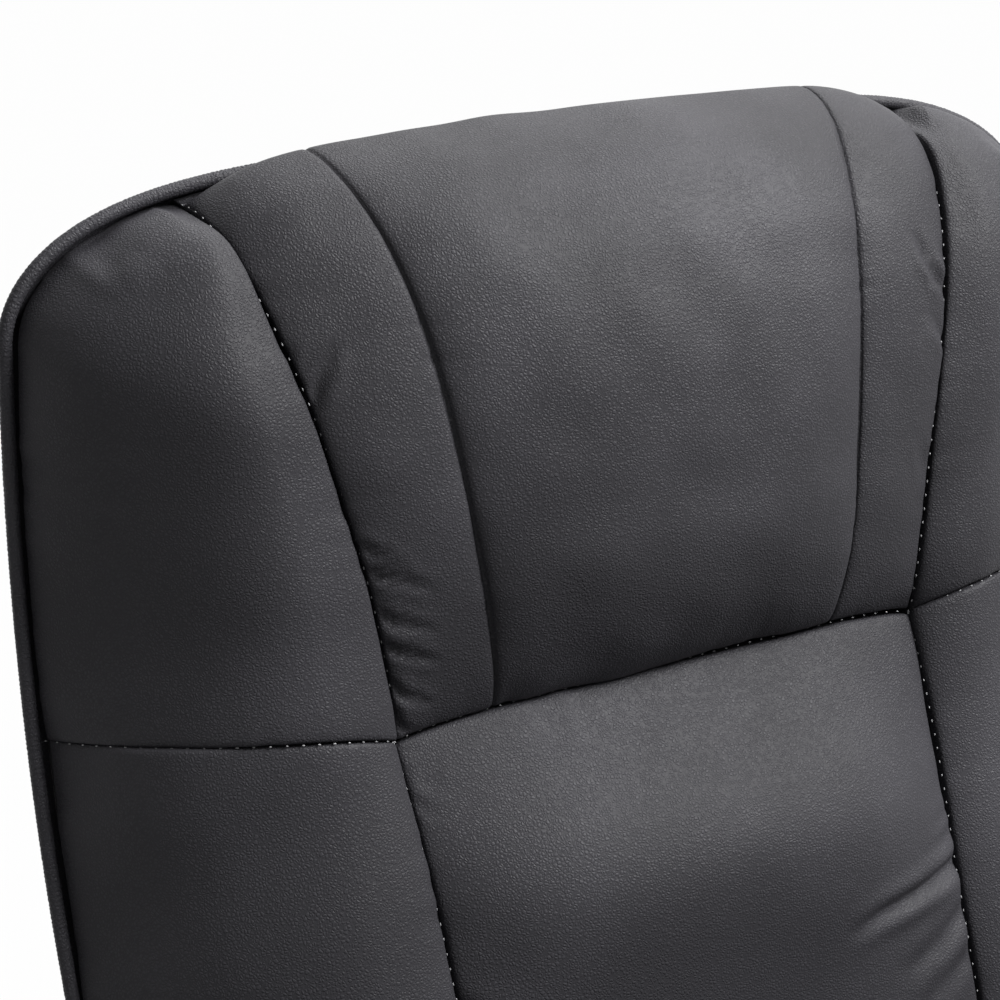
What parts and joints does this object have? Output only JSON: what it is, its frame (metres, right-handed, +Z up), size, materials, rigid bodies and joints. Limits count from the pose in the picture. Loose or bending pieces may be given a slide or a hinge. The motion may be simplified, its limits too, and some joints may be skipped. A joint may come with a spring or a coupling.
{
  "type": "swivel recliner",
  "caption": "Padded leather recliner with an overstuffed head pillow, padded arms, a seat that slides forward as the back leans, and a round bentwood swivel base.",
  "frame": {"origin": "on the floor, on the swivel axis", "axes": "+Z up, the chair faces -Y, +X to the sitter's left"},
  "size_m": [0.782, 0.8181, 1.0572],
  "materials": {
    "leather": "charcoal faux leather with a fine pebble grain, semi-matt",
    "stained_wood": "bent laminated wood, dark stain, satin lacquer",
    "bare_wood": "bare plywood and softwood",
    "steel": "black powder coat",
    "zinc": "zinc-plated steel",
    "nylon": "moulded black nylon",
    "cloth": "woven black webbing and non-woven dust cloth"
  },
  "bodies": {
    "base": {"base_ring": "stained_wood", "base_legs": "stained_wood", "floor_glides": "nylon", "leg_screws": "zinc", "hub_bolts": "zinc", "hub_plate": "steel", "spindle": "zinc", "thrust_washer": "nylon", "spindle_nut": "zinc"},
    "carrier": {"swivel_plate": "steel", "swivel_bush": "nylon", "carrier_bolts": "zinc", "carrier_frame": "steel", "tube_caps": "nylon", "guide_rails": "steel", "side_plate_left": "steel", "side_plate_right": "steel", "arm_lining_left": "leather", "arm_lining_right": "leather", "arm_board_left": "bare_wood", "arm_board_right": "bare_wood", "arm_panel_left": "leather", "arm_panel_right": "leather", "arm_pad_left": "leather", "arm_pad_right": "leather", "arm_bolts": "zinc", "pivot_bolts": "zinc", "pivot_washers": "nylon", "clamp_studs": "zinc"},
    "back": {"back_board": "bare_wood", "back_bracket_left": "steel", "back_bracket_right": "steel", "pivot_bushes": "nylon", "bracket_bolts": "zinc", "head_pillow": "leather", "upper_bolster_left": "leather", "upper_bolster_right": "leather", "lower_bolster_left": "leather", "lower_bolster_right": "leather", "lumbar_cushion": "leather", "side_band": "leather", "rear_panel": "leather", "piping": "leather"},
    "seat": {"seat_frame": "bare_wood", "seat_webbing": "cloth", "seat_cushion": "leather", "seat_front": "leather", "seat_runners": "steel", "slide_blocks": "nylon", "block_bolts": "zinc", "drive_lugs": "steel", "dust_cover": "cloth"},
    "knob_left": {"knob_left": "nylon"},
    "knob_right": {"knob_right": "nylon"}
  },
  "joints": [
    {"name": "swivel", "type": "hinge", "parent": "base", "child": "carrier", "pos_m": [0, 0, 0.17], "axis": [0, 0, 1], "continuous": true},
    {"name": "recline", "type": "hinge", "parent": "carrier", "child": "back", "pos_m": [0, 0.231, 0.437], "axis": [-1, 0, 0], "range_deg": [0, 32]},
    {"name": "seat_slide", "type": "slide", "parent": "carrier", "child": "seat", "axis": [0, -1, 0], "range_m": [0, 0.0715]},
    {"name": "knob_left_turn", "type": "hinge", "parent": "carrier", "child": "knob_left", "pos_m": [0.309, 0.156, 0.3071], "axis": [1, 0, 0], "range_deg": [0, 180]},
    {"name": "knob_right_turn", "type": "hinge", "parent": "carrier", "child": "knob_right", "pos_m": [-0.309, 0.156, 0.3071], "axis": [-1, 0, 0], "range_deg": [0, 180]}
  ],
  "couplings": [
    {"joint": "seat_slide", "follows": "recline", "m_per_rad": 0.12706}
  ]
}
